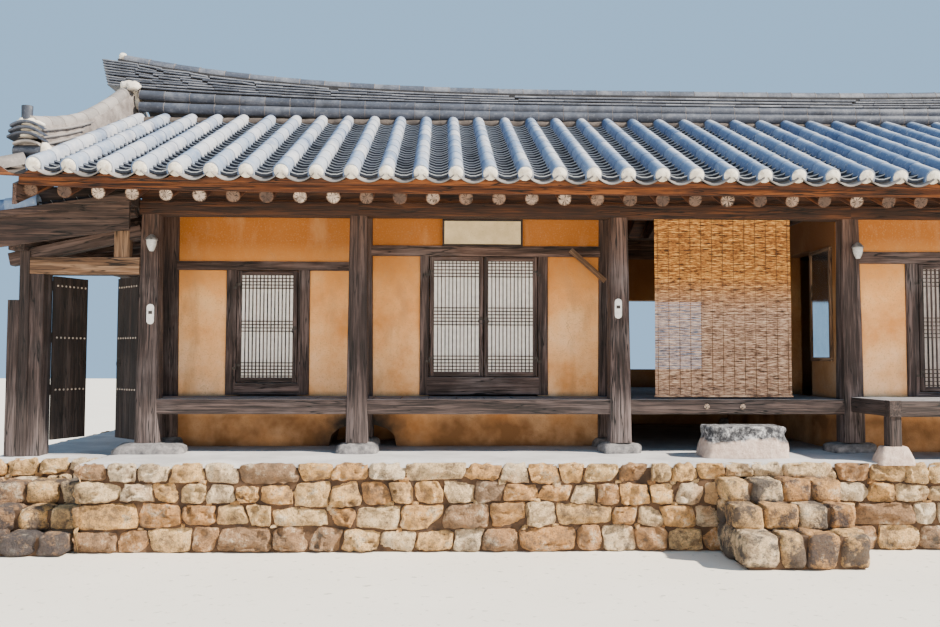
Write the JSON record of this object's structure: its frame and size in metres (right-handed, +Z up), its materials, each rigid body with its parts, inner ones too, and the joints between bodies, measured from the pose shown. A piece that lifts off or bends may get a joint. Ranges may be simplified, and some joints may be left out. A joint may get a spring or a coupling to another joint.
{
  "type": "hanok house",
  "caption": "Korean timber house of five bays on a stone podium, with a tiled gable roof, porch decks, lattice doors and a lean-to gate bay.",
  "frame": {"origin": "on the ground under the podium, below the ridge line and in the middle of the open hall", "axes": "+X to the right along the front, +Y to the back, +Z up"},
  "size_m": [14.18, 6.21, 5.2289],
  "materials": {
    "field_stone": "rounded field stones, tan to grey, set in earth mortar",
    "dressed_stone": "dressed granite, weathered and lichened",
    "old_timber": "dark weathered pine with open grain and checks",
    "deck_timber": "grey-brown worn pine boards",
    "pale_timber": "lighter weathered pine",
    "earth_plaster": "ochre earth plaster, matt, with stains and hair cracks",
    "roof_tile": "fired blue-grey clay roof tiles, slightly smoked",
    "sign_paint": "painted board, cream with a dark edge",
    "reed": "split reed slats bound with thread",
    "mirror_glass": "silvered glass in a brown wooden frame"
  },
  "bodies": {
    "house": {"podium": "field_stone", "gate_floor": "field_stone", "front_steps": "field_stone", "gate_steps": "field_stone", "stepping_stone": "dressed_stone", "heated_floor_left": "earth_plaster", "heated_floor_right": "earth_plaster", "front_column_1": "old_timber", "front_column_2": "old_timber", "front_column_3": "old_timber", "front_column_4": "old_timber", "front_column_5": "old_timber", "front_column_6": "old_timber", "front_beam": "old_timber", "back_frame": "old_timber", "hall_window_frame": "old_timber", "porch_frame": "old_timber", "roof_frame": "old_timber", "rafters_front": "old_timber", "rafters_back": "old_timber", "roof_bed": "roof_tile", "main_ridge": "roof_tile", "verge_ridge_left": "roof_tile", "verge_ridge_right": "roof_tile", "bargeboards_left": "old_timber", "bargeboards_right": "old_timber", "porch_deck": "deck_timber", "hall_deck": "deck_timber", "right_deck": "deck_timber", "door_frame_1": "old_timber", "door_frame_2": "old_timber", "door_frame_4": "old_timber", "window_5": "old_timber", "porch_wall_over": "earth_plaster", "porch_wall_left": "earth_plaster", "porch_wall_middle": "earth_plaster", "porch_wall_right": "earth_plaster", "right_wall_over": "earth_plaster", "right_wall_left": "earth_plaster", "right_wall_right": "earth_plaster", "back_wall": "earth_plaster", "gable_wall_left": "earth_plaster", "hall_wall_left": "earth_plaster", "hall_wall_right": "earth_plaster", "gable_wall_right": "earth_plaster", "signboard": "sign_paint", "reed_blind": "reed", "wall_mirror": "mirror_glass", "gate_frame": "pale_timber", "lean_to_rafters": "old_timber", "lean_to_roof": "roof_tile"},
    "leaf_1": {"door_leaf_1": "old_timber"},
    "leaf_2_left": {"door_leaf_2_left": "old_timber"},
    "leaf_2_right": {"door_leaf_2_right": "old_timber"},
    "leaf_4_left": {"door_leaf_4_left": "old_timber"},
    "leaf_4_right": {"door_leaf_4_right": "old_timber"},
    "gate_left": {"gate_leaf_left": "old_timber"},
    "gate_right": {"gate_leaf_right": "old_timber"}
  },
  "joints": [
    {"name": "door_1", "type": "hinge", "parent": "house", "child": "leaf_1", "pos_m": [-4.926, -1.3, 2], "axis": [0, 0, -1], "range_deg": [0, 110]},
    {"name": "door_2_left", "type": "hinge", "parent": "house", "child": "leaf_2_left", "pos_m": [-2.967, -1.3, 2], "axis": [0, 0, -1], "range_deg": [0, 110]},
    {"name": "door_2_right", "type": "hinge", "parent": "house", "child": "leaf_2_right", "pos_m": [-1.856, -1.3, 2], "axis": [0, 0, 1], "range_deg": [0, 110]},
    {"name": "door_4_left", "type": "hinge", "parent": "house", "child": "leaf_4_left", "pos_m": [1.786, -1.95, 2], "axis": [0, 0, -1], "range_deg": [0, 110]},
    {"name": "door_4_right", "type": "hinge", "parent": "house", "child": "leaf_4_right", "pos_m": [2.984, -1.95, 2], "axis": [0, 0, 1], "range_deg": [0, 110]},
    {"name": "gate_left", "type": "hinge", "parent": "house", "child": "gate_left", "pos_m": [-6.594, -1.755, 1.6], "axis": [0, 0, 1], "range_deg": [-68, 22]},
    {"name": "gate_right", "type": "hinge", "parent": "house", "child": "gate_right", "pos_m": [-5.721, -1.755, 1.6], "axis": [0, 0, -1], "range_deg": [-45, 45]}
  ]
}
